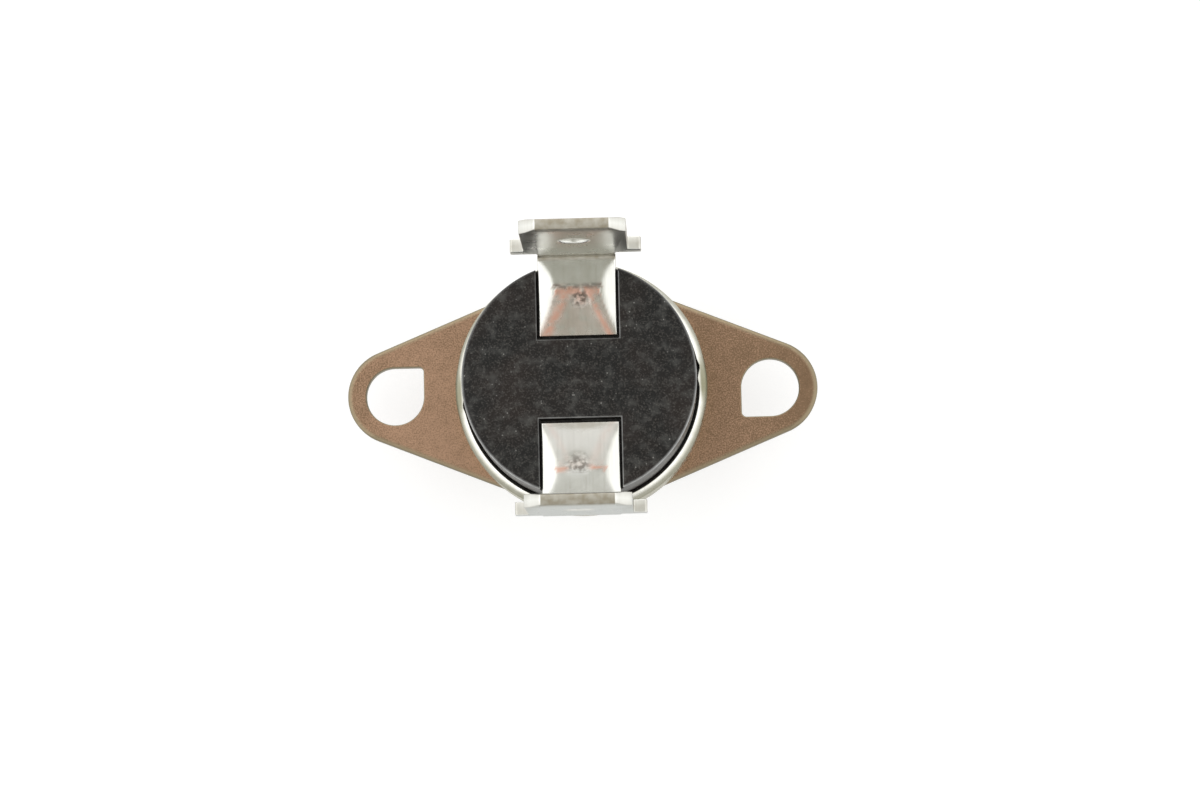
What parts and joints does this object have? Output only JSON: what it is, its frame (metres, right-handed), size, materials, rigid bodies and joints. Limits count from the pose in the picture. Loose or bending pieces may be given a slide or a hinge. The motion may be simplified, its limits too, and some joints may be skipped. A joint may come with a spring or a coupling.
{
  "type": "high-limit switch",
  "caption": "Half-inch snap-disc high-limit switch: drawn sensing cap, black moulded body, flat mounting flange with screw holes, and upright quick-connect tabs.",
  "frame": {"origin": "centre of the flat sensing face, at the bottom of the part", "axes": "+X along the flange through both screw holes, +Y towards the contact terminal, +Z from the sensing face towards the tabs"},
  "size_m": [0.0298, 0.0166, 0.0226],
  "materials": {
    "flange_steel": "satin, brownish",
    "cap_aluminium": "bright drawn",
    "bimetal": "rolled",
    "guide_phenolic": "moulded",
    "pin_ceramic": "unglazed",
    "body_phenolic": "moulded, lightly dusty",
    "tab_tin_plate": "bright tin plate over brass",
    "rivet_brass": "turned",
    "washer_steel": "stamped",
    "strip_brass": "stamped",
    "contact_silver": "silver contact metal",
    "arm_copper": "rolled spring sheet"
  },
  "bodies": {
    "housing": {"mounting_flange": "flange_steel", "sensing_cap": "cap_aluminium", "bimetal_disc": "bimetal", "disc_guide": "guide_phenolic", "switch_body": "body_phenolic", "arm_terminal": "tab_tin_plate", "contact_terminal": "tab_tin_plate", "arm_rivet": "rivet_brass", "contact_rivet": "rivet_brass", "arm_washer": "washer_steel", "contact_strip": "strip_brass", "fixed_contact": "contact_silver"},
    "pin": {"transfer_pin": "pin_ceramic"},
    "arm": {"contact_arm": "arm_copper", "moving_contact": "contact_silver"}
  },
  "joints": [
    {"name": "pin_travel", "type": "slide", "parent": "housing", "child": "pin", "axis": [0, 0, 1], "range_m": [0, 0.00035], "deforming": ["bimetal_disc"]},
    {"name": "contact_arm_flex", "type": "hinge", "parent": "housing", "child": "arm", "pos_m": [0, -0.0051, 0.0077], "axis": [1, 0, 0], "range_deg": [0, 3.94], "stiffness_Nm_per_rad": 0.03, "springref_deg": -2.86}
  ],
  "couplings": [
    {"joint": "contact_arm_flex", "follows": "pin_travel", "rad_per_m": 196.08}
  ]
}
